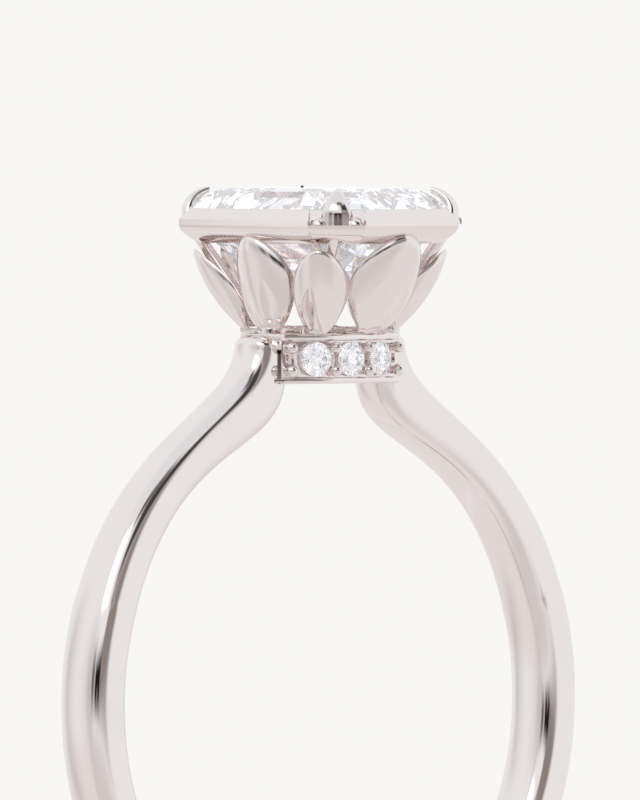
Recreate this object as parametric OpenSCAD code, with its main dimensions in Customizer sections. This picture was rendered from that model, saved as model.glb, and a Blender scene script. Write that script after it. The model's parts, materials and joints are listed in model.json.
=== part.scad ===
// Engagement ring: an emerald-cut stone in an eight-sided bezel with four claws.
// Eight petals stand round it on a collar set with six accent stones,
// and two arms carry the collar up from a rounded band.
// The finger axis is Y, +Z points from the finger to the stone,
// and the origin is the centre of the finger hole.

/* [Band] */
// Radius of the finger hole
bore_r = 8.25; // [7:0.05:10.5]
// Thickness of the band from the finger outwards
band_t = 1.5; // [1.2:0.05:1.9]
// Width of the band along the finger
band_w = 1.85; // [1.5:0.05:2.4]
// Rounding of the four long edges of the band
band_edge_r = 0.46; // [0.25:0.01:0.5]
// Angle from the top at which each arm leaves the round band
arm_start = 72; // [66:1:76]
// Width of an arm at its upper end
arm_top_w = 1.5; // [1.3:0.05:1.7]
// Thickness of an arm outside the collar, at its upper end
arm_top_t = 0.72; // [0.6:0.02:0.84]
// Depth of the ledge that each arm puts under the collar
arm_ledge = 0.39; // [0.3:0.01:0.5]

/* [Collar] */
// Length of the collar between the arms
collar_l = 4.6; // [3.8:0.1:5.6]
// Width of the collar along the finger, at its middle
collar_w = 2.8; // [2.5:0.05:3.4]
// Radius of the collar's long curved sides
collar_side_r = 6.5; // [5:0.1:9]
// Height of the collar's underside above the finger hole
collar_rise = 1.16; // [1.1:0.02:1.6]
// Height of the lower rail
rail_t = 0.19; // [0.15:0.01:0.25]
// Distance from the outside of a rail to its inner edge
rail_w = 0.62; // [0.5:0.01:0.7]
// Height of the upper plate
plate_t = 0.22; // [0.18:0.01:0.3]
// Distance by which the rail and the plate overhang the wall
wall_inset = 0.12; // [0.08:0.01:0.16]
// Thickness of the drilled wall
wall_t = 0.4; // [0.35:0.01:0.5]
// Depth of the groove that each edge of the wall stands in
groove = 0.05; // [0.03:0.01:0.08]
// Diameter of the dowel between an arm and the collar
dowel_d = 0.4; // [0.3:0.02:0.5]
// Length of that dowel
dowel_l = 0.8; // [0.6:0.02:0.9]

/* [Accent stones] */
// Diameter of an accent stone
accent_d = 1.04; // [0.85:0.01:1.25]
// Gap at each end of the row, as a multiple of the gap between two stones
end_gap_ratio = 1.96; // [1.8:0.02:2.3]
// Width of the seat round the hole behind each accent stone
accent_seat = 0.1; // [0.09:0.01:0.15]
// Gap between the head of a bead prong and the rail above or below it
bead_gap = 0.02; // [0.01:0.01:0.04]
// Diameter of a bead prong
bead_d = 0.26; // [0.22:0.01:0.3]
// Diameter of the round bead at its end
bead_head_d = 0.36; // [0.3:0.01:0.38]
// Diameter of the peg that holds it in the wall
bead_peg_d = 0.18; // [0.14:0.01:0.2]
// Length of that peg
bead_peg_l = 0.3; // [0.2:0.01:0.34]
// Share of the spacing by which the outermost beads stand further out
bead_end_shift = 0.14; // [0:0.01:0.16]
// Width of the windows between the stones
window_w = 0.26; // [0.2:0.01:0.28]
// Height of those windows
window_h = 0.3; // [0.2:0.01:0.32]

/* [Centre stone] */
// Width of the centre stone
stone_w = 5.5; // [4.6:0.1:6.8]
// Length of the centre stone along the finger
stone_l = 7.5; // [6.2:0.1:9]
// Length cut from each side at the stone's corners
stone_corner = 1.01; // [0.8:0.01:1.2]
// Height of the crown above the girdle
crown_h = 0.6; // [0.5:0.01:0.8]
// Thickness of the girdle
girdle_t = 0.1; // [0.06:0.01:0.15]
// Slope of the first step below the girdle
pavilion_slope = 55; // [50:1:58]

/* [Bezel] */
// Thickness of the bezel wall beside the girdle
bezel_wall = 0.3; // [0.25:0.01:0.36]
// Height of the bezel
bezel_h = 1.03; // [0.95:0.01:1.15]
// Height of the bezel's top above the collar
head_rise = 3.7; // [3.4:0.05:4.2]
// Height of the corner ledges below the bezel's top
ledge_drop = 0.47; // [0.42:0.01:0.5]
// Diameter of a claw's post
post_d = 0.36; // [0.28:0.01:0.4]
// Width of a claw at its base
claw_w = 0.97; // [0.8:0.01:1.1]
// Radius of the round shoulders beside a claw
shoulder_r = 0.33; // [0.25:0.01:0.36]

/* [Petals] */
// Thickness of a petal at its foot
petal_t = 0.28; // [0.22:0.01:0.32]
// Thickness of a petal at its tip
petal_tip_t = 0.1; // [0.08:0.01:0.14]
// Width of the left and right petals
petal_side_w = 2.3; // [1.8:0.05:2.7]
// Width of the front and back petals
petal_end_w = 2.5; // [1.9:0.05:2.9]
// Gap between the edges of neighbouring petals
petal_gap = 0.09; // [0.06:0.01:0.2]
// Height by which the four wide petals reach over the bezel's underside
petal_lap = 0.2; // [0.12:0.01:0.24]
// Distance of the corner petals' tips below the bezel
petal_drop = 0.19; // [0.12:0.01:0.4]
// Distance of the petals' edges inside the bezel, where the petals are widest
petal_edge_in = 0.82; // [0.6:0.02:1.1]
// Diameter of a petal's peg
petal_peg_d = 0.3; // [0.2:0.01:0.34]

/* [Fits] */
// Clearance round pegs, posts, dowels and seated stones
fit_gap = 0.02; // [0.01:0.005:0.03]

/* [Hidden] */

$fn = 96;
white_gold = [0.86, 0.83, 0.82];
diamond = [0.87, 0.93, 0.98];
front = 180;
back = 0;
over = 0.5;

// Height of the bearing ring's underside above the bezel's
bearing_rise = 0.38;

// Levels, from the finger upwards
collar_z = bore_r + collar_rise;
wall_z = collar_z + rail_t - groove;
accent_z = collar_z + rail_t + fit_gap + accent_d / 2;
plate_z = collar_z + rail_t + accent_d + 2 * fit_gap;
plate_top = plate_z + plate_t;
bezel_top = plate_top + head_rise;
bezel_z = bezel_top - bezel_h;
ledge_z = bezel_top - ledge_drop;
bearing_z = bezel_z + bearing_rise;
girdle_z = bezel_top - girdle_t;

// Outline of the bezel round the stone's girdle
corner_share = 2 - sqrt(2);
bezel_out = bezel_wall + fit_gap;
bezel_x = stone_w / 2 + bezel_out;
bezel_y = stone_l / 2 + bezel_out;
bezel_corner = stone_corner + corner_share * bezel_out;

// A claw post's axis, at the corner where x and y are positive
post_in = bezel_wall * sqrt(0.5);
foot_in = [1.1, 0.45];
post_top = [bezel_x - bezel_corner / 2 - post_in, bezel_y - bezel_corner / 2 - post_in, ledge_z];
post_foot = [collar_l / 2 - foot_in[0], collar_w / 2 - foot_in[1], plate_z + groove];

// Places of the pegs under the right petal and the back petal, in the middle of the plate's rim
peg_x = collar_l / 2 - rail_w / 2;
peg_y = collar_w / 2 - rail_w / 2;

function mix(a, b, t) = a + (b - a) * t;
function bezier(p, t) = pow(1 - t, 3) * p[0] + 3 * t * pow(1 - t, 2) * p[1]
    + 3 * t * t * (1 - t) * p[2] + pow(t, 3) * p[3];

// A corner-cut rectangle at a height, as eight points
function octagon(x, y, c, z) = [
    [x, c - y, z], [x, y - c, z], [x - c, y, z], [c - x, y, z],
    [-x, y - c, z], [-x, c - y, z], [c - x, -y, z], [x - c, -y, z]];

// One solid through a stack of closed rings that all have the same number of points
module loft(rings) {
    count = len(rings[0]);
    last = (len(rings) - 1) * count;
    sides = [for (i = [0 : len(rings) - 2]) for (j = [0 : count - 1])
        let (a = i * count + j, b = i * count + (j + 1) % count)
        for (face = [[a, a + count, b + count], [a, b + count, b]]) face];
    bottom = [for (j = [0 : count - 1]) j];
    top = [for (j = [count - 1 : -1 : 0]) last + j];
    polyhedron([for (ring = rings) for (p = ring) p], concat(sides, [bottom, top]));
}

// A cylinder between two points
module rod(start, finish, r) {
    reach = finish - start;
    turn = atan2(reach[1], reach[0]);
    tilt = acos(reach[2] / norm(reach));
    translate(start) rotate([0, tilt, turn]) cylinder(h = norm(reach), r = r);
}

// ---------- Band and arms ----------

// Section of the band: radius along x, width along y
module band_section() {
    flat_t = band_t - 2 * band_edge_r;
    flat_w = band_w - 2 * band_edge_r;
    translate([bore_r + band_t / 2, 0]) {
        square([band_t, flat_w], center = true);
        square([flat_t, band_w], center = true);
        for (x = [-1, 1], y = [-1, 1])
            translate([x * flat_t / 2, y * flat_w / 2]) circle(r = band_edge_r);
    }
}

// Side curves of the right arm, as points in x and z
arm_z = plate_top;
arm_out = collar_l / 2 + arm_top_t;
arm_in = collar_l / 2 - arm_ledge;
function band_point(r) = [r * sin(arm_start), r * cos(arm_start)];
function arm_curve(start, finish, pull, lift, lean) =
    let (reach = norm(finish - start))
    [start, start + pull * reach * [-cos(arm_start), sin(arm_start)],
     finish - lift * reach * [sin(lean), cos(lean)], finish];
outer_curve = arm_curve(band_point(bore_r + band_t), [arm_out, arm_z],
    pull = 0.57, lift = 0.23, lean = 6);
inner_curve = arm_curve(band_point(bore_r), [arm_in, arm_z - 0.1],
    pull = 0.65, lift = 0.43, lean = 14);

// Ring of the arm at a share t of its length: a rounded rectangle, a hair inside the
// band's own surface where the arm's root runs into the band
arm_inset = 0.012;
arm_root = -0.025;
edge_share = 0.36;
function arm_ring(t) =
    let (
        inner_edge = bezier(inner_curve, t),
        span = bezier(outer_curve, t) - inner_edge,
        dir = span / norm(span),
        inner = inner_edge + arm_inset * dir,
        depth = norm(span) - 2 * arm_inset,
        width = mix(band_w, arm_top_w, sqrt(max(0, t))) - 2 * arm_inset,
        edge = min(band_edge_r, depth * edge_share)
    )
    [for (q = [0 : 3]) for (k = [0 : 5])
        let (
            a = q * 90 + k * 18,
            corner_x = (q == 0 || q == 3) ? depth - edge : edge,
            corner_y = (q < 2 ? 1 : -1) * (width / 2 - edge),
            across = corner_x + edge * cos(a),
            y = corner_y + edge * sin(a)
        )
        [inner[0] + dir[0] * across, y, inner[1] + dir[1] * across]];

module arm() {
    loft([for (i = [0 : 30]) arm_ring(mix(arm_root, 1, i / 30))]);
}

module shank() {
    color(white_gold)
    difference() {
        union() {
            rotate([90, 0, 0]) rotate([0, 0, 90 + arm_start])
                rotate_extrude(angle = 360 - 2 * arm_start) band_section();
            arm();
            mirror([1, 0, 0]) arm();
        }
        translate([0, 0, collar_z])
            linear_extrude(height = plate_top - collar_z + over) collar_plan(-fit_gap, -fit_gap);
        rod([-collar_l / 2 - dowel_l / 2 - fit_gap, 0, accent_z],
            [collar_l / 2 + dowel_l / 2 + fit_gap, 0, accent_z], dowel_d / 2 + fit_gap);
    }
}

// ---------- Collar ----------

// Plan of the collar: curved long sides and straight ends, each inset by its own distance
module collar_plan(side_inset, end_inset) {
    centre = collar_side_r - collar_w / 2;
    intersection() {
        square([collar_l - 2 * end_inset, collar_w + 2 * over], center = true);
        translate([0, centre]) circle(r = collar_side_r - side_inset);
        translate([0, -centre]) circle(r = collar_side_r - side_inset);
    }
}

// Plan of the wall, grown all round by a clearance
module wall_plan(grow) {
    difference() {
        collar_plan(wall_inset - grow, -grow);
        collar_plan(wall_inset + wall_t + grow, wall_t + grow);
    }
}

// Puts a child, drawn along +Z from the centre of a curved side, at an angle along that side
module on_side(side, angle, z) {
    rotate([0, 0, side]) translate([0, collar_w / 2 - collar_side_r, z])
        rotate([0, 0, -angle]) rotate([-90, 0, 0]) children();
}

wall_r = collar_side_r - wall_inset;

// The row of three stones fills the collar, so its spacing follows from both
accent_gap = (collar_l - 3 * accent_d) / (2 + 2 * end_gap_ratio);
accent_pitch = accent_d + accent_gap;
accent_step = asin(accent_pitch / collar_side_r);
accent_hole_d = accent_d - 2 * accent_seat;
accent_slope = 41;
accent_rise = accent_seat * tan(accent_slope) + fit_gap;

// Height of a bead prong above or below the row's centre line
bead_offset = accent_d / 2 + fit_gap - bead_gap - bead_head_d / 2;
bead_over = 0.1;
bead_shares = [0.5, 1.5 + bead_end_shift];
bead_angles = [for (turn = [-1, 1]) for (share = bead_shares) turn * share * accent_step];

module lower_rail() {
    color(white_gold)
    difference() {
        translate([0, 0, collar_z]) linear_extrude(height = rail_t) collar_plan(0, 0);
        translate([0, 0, collar_z - over]) linear_extrude(height = rail_t + 2 * over)
            collar_plan(rail_w, rail_w);
        translate([0, 0, wall_z]) linear_extrude(height = groove + over) wall_plan(fit_gap);
    }
}

module collar_wall() {
    window_depth = wall_t + 0.1;
    color(white_gold)
    difference() {
        translate([0, 0, wall_z]) linear_extrude(height = plate_z + groove - wall_z) wall_plan(0);
        for (side = [front, back]) {
            for (step = [-1 : 1])
                on_side(side, step * accent_step, accent_z)
                    translate([0, 0, wall_r - window_depth])
                        cylinder(h = window_depth + over, r = accent_hole_d / 2);
            for (angle = bead_angles)
                on_side(side, angle, accent_z) {
                    translate([-window_w / 2, -window_h / 2, wall_r - window_depth])
                        cube([window_w, window_h, window_depth + over]);
                    for (z = [-1, 1])
                        translate([0, z * bead_offset, wall_r - bead_peg_l])
                            cylinder(h = bead_peg_l + over, r = bead_peg_d / 2 + fit_gap);
                }
        }
        rod([-collar_l, 0, accent_z], [collar_l, 0, accent_z], dowel_d / 2 + fit_gap);
        for (x = [-1, 1], y = [-1, 1])
            at_corner(x, y) post(fit_gap);
    }
}

module gallery_plate() {
    color(white_gold)
    difference() {
        translate([0, 0, plate_z]) linear_extrude(height = plate_t) collar_plan(0, 0);
        translate([0, 0, plate_z - over]) linear_extrude(height = plate_t + 2 * over)
            collar_plan(rail_w, rail_w);
        translate([0, 0, plate_z - over]) linear_extrude(height = groove + over) wall_plan(fit_gap);
        for (turn = [-1, 1]) {
            translate([turn * peg_x, 0, plate_z])
                cylinder(h = plate_t + over, r = petal_peg_d / 2 + fit_gap);
            translate([0, turn * peg_y, plate_z])
                cylinder(h = plate_t + over, r = petal_peg_d / 2 + fit_gap);
        }
        for (x = [-1, 1], y = [-1, 1])
            at_corner(x, y) post(fit_gap);
    }
}

module arm_dowels() {
    inner = collar_l / 2 - dowel_l / 2;
    color(white_gold)
    for (side = [-1, 1])
        rod([side * inner, 0, accent_z], [side * (inner + dowel_l), 0, accent_z], dowel_d / 2);
}

// ---------- Accent stones and their bead prongs ----------

// One round stone, its girdle in the plane z = 0 and its face towards +Z
module round_stone(d) {
    girdle = 0.02;
    table = 0.28 * d;
    crown = (d / 2 - table) * tan(34);
    rotate_extrude() polygon([
        [0, -d / 2 * tan(accent_slope)], [d / 2, 0], [d / 2, girdle],
        [table, girdle + crown], [0, girdle + crown]]);
}

module accent(side, step) {
    color(diamond)
    on_side(side, step * accent_step, accent_z)
        translate([0, 0, wall_r + accent_rise]) round_stone(accent_d);
}

module bead_prongs(side) {
    head = wall_r + accent_rise + bead_over;
    color(white_gold)
    for (angle = bead_angles, z = [-1, 1])
        on_side(side, angle, accent_z) translate([0, z * bead_offset, 0]) {
            translate([0, 0, wall_r - bead_peg_l + fit_gap]) cylinder(h = bead_peg_l, r = bead_peg_d / 2);
            translate([0, 0, wall_r]) cylinder(h = head - wall_r, r = bead_d / 2);
            translate([0, 0, head]) sphere(r = bead_head_d / 2);
        }
}

// ---------- Centre stone ----------

// Outline of the stone, drawn in by an inset and grown by a clearance
function stone_ring(inset, z, grow) = octagon(
    stone_w / 2 - inset + grow, stone_l / 2 - inset + grow,
    stone_corner * (1 - 2 * inset / stone_w) + corner_share * grow, z);

// Each step of the cut as an inset and a height, from the keel to the table
function stone_steps() =
    let (
        half = stone_w / 2,
        first = 0.225 * half,
        second = 0.58 * half,
        keel = half - 0.03,
        first_z = girdle_z - first * tan(pavilion_slope),
        second_z = first_z - (second - first) * tan(pavilion_slope - 10),
        keel_z = second_z - (keel - second) * tan(pavilion_slope - 19)
    )
    [[keel, keel_z], [second, second_z], [first, first_z], [0, girdle_z], [0, bezel_top],
     [0.6 * crown_h, bezel_top + 0.55 * crown_h], [1.1 * crown_h, bezel_top + 0.84 * crown_h],
     [1.6 * crown_h, bezel_top + crown_h]];

module stone_body(grow) {
    loft([for (step = stone_steps()) stone_ring(step[0], step[1], grow)]);
}

module centre_stone() {
    color(diamond) stone_body(0);
}

// ---------- Bezel ----------

under_h = 0.53;
under_in = 0.7;
rim_h = 0.25;
rim_in = 0.22;

// Outline of the bezel, drawn in by an inset
function bezel_ring(inset, z) =
    octagon(bezel_x - inset, bezel_y - inset, bezel_corner - corner_share * inset, z);

// Inset of the sloping seat, which follows the stone's underside
function seat_in(z) = bezel_out + (girdle_z - z) / tan(pavilion_slope) - 2.5 * fit_gap;

// Puts a child drawn at the corner where x and y are positive at any corner
module at_corner(x, y) {
    mirror([x < 0 ? 1 : 0, 0, 0]) mirror([0, y < 0 ? 1 : 0, 0]) children();
}

// Local frame of that corner: +X points outwards from the flat corner face
module corner_frame() {
    translate([bezel_x - bezel_corner / 2, bezel_y - bezel_corner / 2, 0])
        rotate([0, 0, 45]) children();
}

// The post of a claw, from its socket in the plate until it ends inside the claw
module post(grow) {
    into_claw = 0.12;
    reach = post_top - post_foot;
    rod(post_foot, post_top + into_claw * reach / norm(reach), post_d / 2 + grow);
}

// Space above the corner ledge, where a claw stands
notch_w = bezel_corner * sqrt(2) - 2 * fit_gap;
notch_depth = 0.66;
module corner_notch() {
    corner_frame() translate([-notch_depth, -notch_w / 2, ledge_z])
        cube([notch_depth + over, notch_w, ledge_drop + over]);
}

module bezel_frame() {
    color(white_gold)
    difference() {
        loft(concat(
            [for (h = [0, 0.1, 0.22, 0.36, 0.55, 0.78, 1])
                bezel_ring(under_in * pow(1 - h, 2.5), bezel_z + h * under_h)],
            [bezel_ring(0, bezel_top - rim_h), bezel_ring(rim_in, bezel_top)]));
        loft([
            bezel_ring(seat_in(bezel_z - 0.1), bezel_z - 0.1), bezel_ring(seat_in(bearing_z), bearing_z),
            bezel_ring(bezel_wall, bearing_z), bezel_ring(bezel_wall, bezel_top + over)]);
        for (x = [-1, 1], y = [-1, 1])
            at_corner(x, y) {
                corner_notch();
                post(fit_gap);
            }
    }
}

module bearing_ring() {
    top_drop = 0.1;
    top = girdle_z - top_drop;
    color(white_gold)
    difference() {
        loft([bezel_ring(bezel_out, bearing_z), bezel_ring(bezel_out, top)]);
        stone_body(fit_gap);
        for (x = [-1, 1], y = [-1, 1])
            at_corner(x, y) {
                corner_notch();
                post(fit_gap);
            }
    }
}

// ---------- Claws ----------

claw_in = 0.05;
claw_reach = 0.9;
claw_rise = 0.85;
claw_z = ledge_z + 0.27;

// Ring of a claw at an angle along its curve, from 0 at the foot to 90 at the tip
function claw_ring(angle, z) =
    let (
        share = angle / 90,
        half_t = mix(0.25, 0.07, share),
        half_w = claw_w / 2 * pow(1.05 - share, 0.9) / pow(1.05, 0.9),
        x = -claw_in - claw_reach * (1 - cos(angle)) - half_t * cos(angle),
        mid_z = z + (claw_rise - half_t) * sin(angle)
    )
    [for (k = [0 : 15])
        let (round = half_t * cos(k * 22.5))
        [x + round * cos(angle), half_w * sin(k * 22.5), mid_z + round * sin(angle)]];

module claw(x, y) {
    color(white_gold)
    at_corner(x, y) difference() {
        union() {
            post(0);
            corner_frame() {
                loft(concat([claw_ring(0, ledge_z)], [for (angle = [0 : 11 : 88]) claw_ring(angle, claw_z)]));
                for (side = [-1, 1])
                    intersection() {
                        translate([-bezel_wall + fit_gap, side * (notch_w / 2 - fit_gap - shoulder_r), ledge_z])
                            rotate([0, 90, 0]) cylinder(h = bezel_wall - 2 * fit_gap, r = shoulder_r);
                        translate([-over, -claw_w, ledge_z]) cube([2 * over, 2 * claw_w, over]);
                    }
            }
        }
        stone_body(fit_gap);
    }
}

// ---------- Petals ----------

widest = 0.55;
foot_share = 0.3;
side_bulge = 0.39;
corner_bulge = 0.7;
end_edge_in = petal_edge_in + 0.25;

// Share of a petal's full width at a share t of its height
function petal_width(t) = t < widest
    ? mix(foot_share, 1, pow(sin(90 * t / widest), 0.75))
    : pow(cos(90 * (t - widest) / (1 - widest)), 0.65);

// Ring of a petal at a share t of its height. The petal's outer middle line climbs from
// base to tip, turning steep as the power falls. face is the way that its back points.
function petal_ring(t, base, tip, face, half, bulge, power) =
    let (
        out = [cos(face), sin(face), 0],
        across = [-sin(face), cos(face), 0],
        flat_tip = [tip[0], tip[1], base[2]],
        middle = mix(base, flat_tip, pow(t, power)) + [0, 0, (tip[2] - base[2]) * t],
        run = norm(flat_tip - base) * power * pow(t, power - 1),
        rise = tip[2] - base[2],
        thick = mix(petal_t, petal_tip_t, t) / norm([run, rise]) * (rise * out - [0, 0, run]),
        width = petal_width(t),
        outer = [for (s = [-1 : 0.25 : 1])
            middle + s * half * width * across - bulge * pow(s * width, 2) * out]
    )
    concat(outer, [for (i = [len(outer) - 1 : -1 : 0]) outer[i] - thick]);

module petal_blade(base, tip, face, half, bulge, power) {
    loft([for (i = [0 : 14])
        petal_ring(0.002 + 0.985 * pow(i / 14, 1.5), base, tip, face, half, bulge, power)]);
}

foot_h = 0.2;
wide_tip_z = bezel_z + petal_lap;

// The right petal
module petal_x() {
    base_in = 0.45;
    tip_in = 0.1;
    half = petal_side_w / 2;
    petal_blade([collar_l / 2 - base_in, 0, plate_top], [bezel_x - tip_in, 0, wide_tip_z],
        face = 0, half = half, bulge = side_bulge * half, power = 0.48);
    translate([peg_x, 0, plate_z + groove]) cylinder(h = plate_t - groove + foot_h, r = petal_peg_d / 2);
    translate([peg_x, 0, plate_top]) cylinder(h = foot_h, r = petal_peg_d / 2 + 0.1);
}

// The back petal
module petal_y() {
    base_out = 0.7;
    base_y = collar_w / 2 + base_out;
    half = petal_end_w / 2;
    petal_blade([0, base_y, plate_top], [0, bezel_y - 0.02, wide_tip_z],
        face = 90, half = half, bulge = side_bulge * half, power = 0.6);
    translate([0, peg_y, plate_z + groove]) cylinder(h = plate_t - groove + foot_h, r = petal_peg_d / 2);
    translate([-petal_peg_d / 2 - 0.1, peg_y - 0.25, plate_top])
        cube([petal_peg_d + 0.2, base_y - peg_y + 0.4, foot_h]);
}

// The petal at the corner where x and y are positive. A claw's post passes through its foot.
module petal_corner() {
    base_in = 1.38;
    base_out = 0.3;
    tip_in = [0.47, 1.27];
    base = [bezel_x - base_in, collar_w / 2 + base_out, plate_top];
    tip = [bezel_x - tip_in[0], bezel_y - tip_in[1], bezel_z - petal_drop];
    eye = [post_foot[0], post_foot[1], plate_top];
    lead = base - eye;
    edge_a = [bezel_x - petal_edge_in, petal_side_w / 2 + petal_gap];
    edge_b = [petal_end_w / 2 + petal_gap, bezel_y - end_edge_in];
    chord = edge_b - edge_a;
    half = norm(chord) / 2;
    face = atan2(-chord[0], chord[1]);
    difference() {
        union() {
            petal_blade(base, tip, face, half, bulge = corner_bulge * half, power = 0.5);
            translate(eye) cylinder(h = foot_h, r = post_d / 2 + 0.18);
            translate(eye) rotate([0, 0, atan2(lead[1], lead[0])])
                translate([0, -post_d / 2 - 0.1, 0]) cube([norm(lead) + 0.1, post_d + 0.2, foot_h]);
        }
        post(fit_gap);
    }
}

module petal_left() { color(white_gold) mirror([1, 0, 0]) petal_x(); }
module petal_right() { color(white_gold) petal_x(); }
module petal_front() { color(white_gold) mirror([0, 1, 0]) petal_y(); }
module petal_back() { color(white_gold) petal_y(); }
module petal_at(x, y) { color(white_gold) at_corner(x, y) petal_corner(); }

shank();
lower_rail();
collar_wall();
gallery_plate();
arm_dowels();
bezel_frame();
bearing_ring();
centre_stone();
claw(-1, -1);  // claw_front_left
claw(1, -1);  // claw_front_right
claw(-1, 1);  // claw_back_left
claw(1, 1);  // claw_back_right
petal_left();
petal_right();
petal_front();
petal_back();
petal_at(-1, -1);  // petal_front_left
petal_at(1, -1);  // petal_front_right
petal_at(-1, 1);  // petal_back_left
petal_at(1, 1);  // petal_back_right
accent(front, 1);  // accent_front_left
accent(front, 0);  // accent_front_middle
accent(front, -1);  // accent_front_right
accent(back, -1);  // accent_back_left
accent(back, 0);  // accent_back_middle
accent(back, 1);  // accent_back_right
bead_prongs(front);  // bead_prongs_front
bead_prongs(back);  // bead_prongs_back
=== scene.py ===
"""Looks of the engagement ring: polished white gold, an emerald-cut stone, petals and accent stones.

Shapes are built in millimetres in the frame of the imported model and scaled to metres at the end.
X runs across the finger, Y along it, and Z from the finger to the stone.
"""

import json
import math

import bmesh
import bpy
from mathutils import Matrix, Vector


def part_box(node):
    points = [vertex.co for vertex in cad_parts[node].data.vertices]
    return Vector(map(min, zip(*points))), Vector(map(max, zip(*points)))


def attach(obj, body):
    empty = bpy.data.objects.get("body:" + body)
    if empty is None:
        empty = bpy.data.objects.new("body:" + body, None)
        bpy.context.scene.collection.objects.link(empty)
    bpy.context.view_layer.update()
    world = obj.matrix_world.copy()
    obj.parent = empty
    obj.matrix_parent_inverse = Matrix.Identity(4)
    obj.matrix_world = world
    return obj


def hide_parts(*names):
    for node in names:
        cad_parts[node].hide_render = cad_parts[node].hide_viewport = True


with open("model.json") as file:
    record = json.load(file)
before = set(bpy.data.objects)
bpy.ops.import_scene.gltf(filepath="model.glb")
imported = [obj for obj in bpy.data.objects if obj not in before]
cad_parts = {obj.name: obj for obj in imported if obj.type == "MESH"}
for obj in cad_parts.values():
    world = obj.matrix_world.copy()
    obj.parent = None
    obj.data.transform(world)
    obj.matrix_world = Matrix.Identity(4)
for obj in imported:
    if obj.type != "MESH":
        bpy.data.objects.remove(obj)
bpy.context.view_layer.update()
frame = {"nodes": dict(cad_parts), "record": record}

MM = 0.001
SIDES = (-1, 1)
UP = Vector((0, 0, 1))


def mm_box(node):
    """Lowest and highest corner of a CAD node, in millimetres."""
    low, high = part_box(node)
    return low / MM, high / MM


# ---------- Sizes, read from the frame ----------

shank_low, shank_high = mm_box("shank")
plate_low, plate_high = mm_box("gallery_plate")
rail_low, rail_high = mm_box("lower_rail")
bezel_low, bezel_high = mm_box("bezel_frame")
stone_low, stone_high = mm_box("centre_stone")
accent_low, accent_high = mm_box("accent_front_middle")

bore_r = frame["record"]["mounts"][0]["dims"]["r_mm"]
band_r = -shank_low.z
band_w = shank_high.y - shank_low.y
collar_l = plate_high.x - plate_low.x
collar_w = plate_high.y - plate_low.y
collar_z = rail_low.z
rail_top = rail_high.z
plate_z = plate_low.z
plate_top = plate_high.z
accent_d = accent_high.x - accent_low.x
accent_z = (accent_low.z + accent_high.z) / 2
bezel_x = bezel_high.x
bezel_y = bezel_high.y
bezel_z = bezel_low.z
bezel_top = bezel_high.z
stone_w = stone_high.x - stone_low.x
stone_l = stone_high.y - stone_low.y
table_z = stone_high.z


# ---------- Curves and lofts ----------

BOX_FACES = [(0, 1, 3, 2), (4, 5, 7, 6), (0, 1, 5, 4), (2, 3, 7, 6), (0, 2, 6, 4), (1, 3, 7, 5)]


def mix(a, b, share):
    """The value at a share of the way from a to b."""
    return a + (b - a) * share


def spread(low, high, count):
    """count + 1 numbers from low to high."""
    return [mix(low, high, i / count) for i in range(count + 1)]


def bezier(points, t):
    """The point at a share t of a cubic curve."""
    p0, p1, p2, p3 = points
    return (1 - t) ** 3 * p0 + 3 * t * (1 - t) ** 2 * p1 + 3 * t * t * (1 - t) * p2 + t ** 3 * p3


def loft(rings, cyclic=False):
    """Points and faces of one closed skin through rings that all have the same number of points."""
    count = len(rings[0])
    points = [p for ring in rings for p in ring]
    faces = []
    spans = len(rings) if cyclic else len(rings) - 1
    for i in range(spans):
        low = i * count
        high = (i + 1) % len(rings) * count
        for j in range(count):
            k = (j + 1) % count
            faces.append((low + j, low + k, high + k, high + j))
    if not cyclic:
        faces.append(tuple(range(count - 1, -1, -1)))
        faces.append(tuple(range(len(points) - count, len(points))))
    return points, faces


def solid(name, points, faces):
    """A new object with its faces turned outwards, still in millimetres."""
    mesh = bpy.data.meshes.new(name)
    mesh.from_pydata([tuple(p) for p in points], [], faces)
    mesh.validate()
    work = bmesh.new()
    work.from_mesh(mesh)
    bmesh.ops.recalc_face_normals(work, faces=work.faces)
    work.to_mesh(mesh)
    work.free()
    piece = bpy.data.objects.new(name, mesh)
    bpy.context.scene.collection.objects.link(piece)
    return piece


def applied(piece):
    """The piece with its modifiers made part of its mesh."""
    bpy.context.view_layer.update()
    seen = piece.evaluated_get(bpy.context.evaluated_depsgraph_get())
    mesh = bpy.data.meshes.new_from_object(seen)
    piece.modifiers.clear()
    piece.data = mesh
    return piece


def combine(piece, other, operation):
    """Cuts other from the piece or joins it to the piece, and removes other."""
    change = piece.modifiers.new(operation, "BOOLEAN")
    change.operation = operation
    change.solver = "EXACT"
    change.object = other
    applied(piece)
    bpy.data.objects.remove(other)
    return piece


def bevelled(piece, width, segments=2, limit=35):
    """The piece with its edges rounded, where they turn by more than the limit in degrees."""
    change = piece.modifiers.new("round", "BEVEL")
    change.width = width
    change.segments = segments
    change.limit_method = "ANGLE"
    change.angle_limit = math.radians(limit)
    return applied(piece)


def block(low, high):
    """A box between two corners."""
    points = [(x, y, z) for z in (low[2], high[2]) for y in (low[1], high[1]) for x in (low[0], high[0])]
    return solid("block", points, BOX_FACES)


def circle_ring(centre, across, up, r, count):
    """Points of a circle round a centre, in the plane of two unit vectors."""
    turns = [2 * math.pi * k / count for k in range(count)]
    return [centre + r * math.cos(a) * across + r * math.sin(a) * up for a in turns]


def lathe(start, axis, profile, count=32):
    """Rings of a turned shape: profile is (distance along the axis, radius) pairs."""
    axis = axis.normalized()
    across = axis.orthogonal().normalized()
    up = axis.cross(across)
    return [circle_ring(start + axis * along, across, up, r, count) for along, r in profile]


def turned(name, start, axis, profile, count=32):
    """A solid turned shape."""
    return solid(name, *loft(lathe(start, axis, profile, count)))


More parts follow.
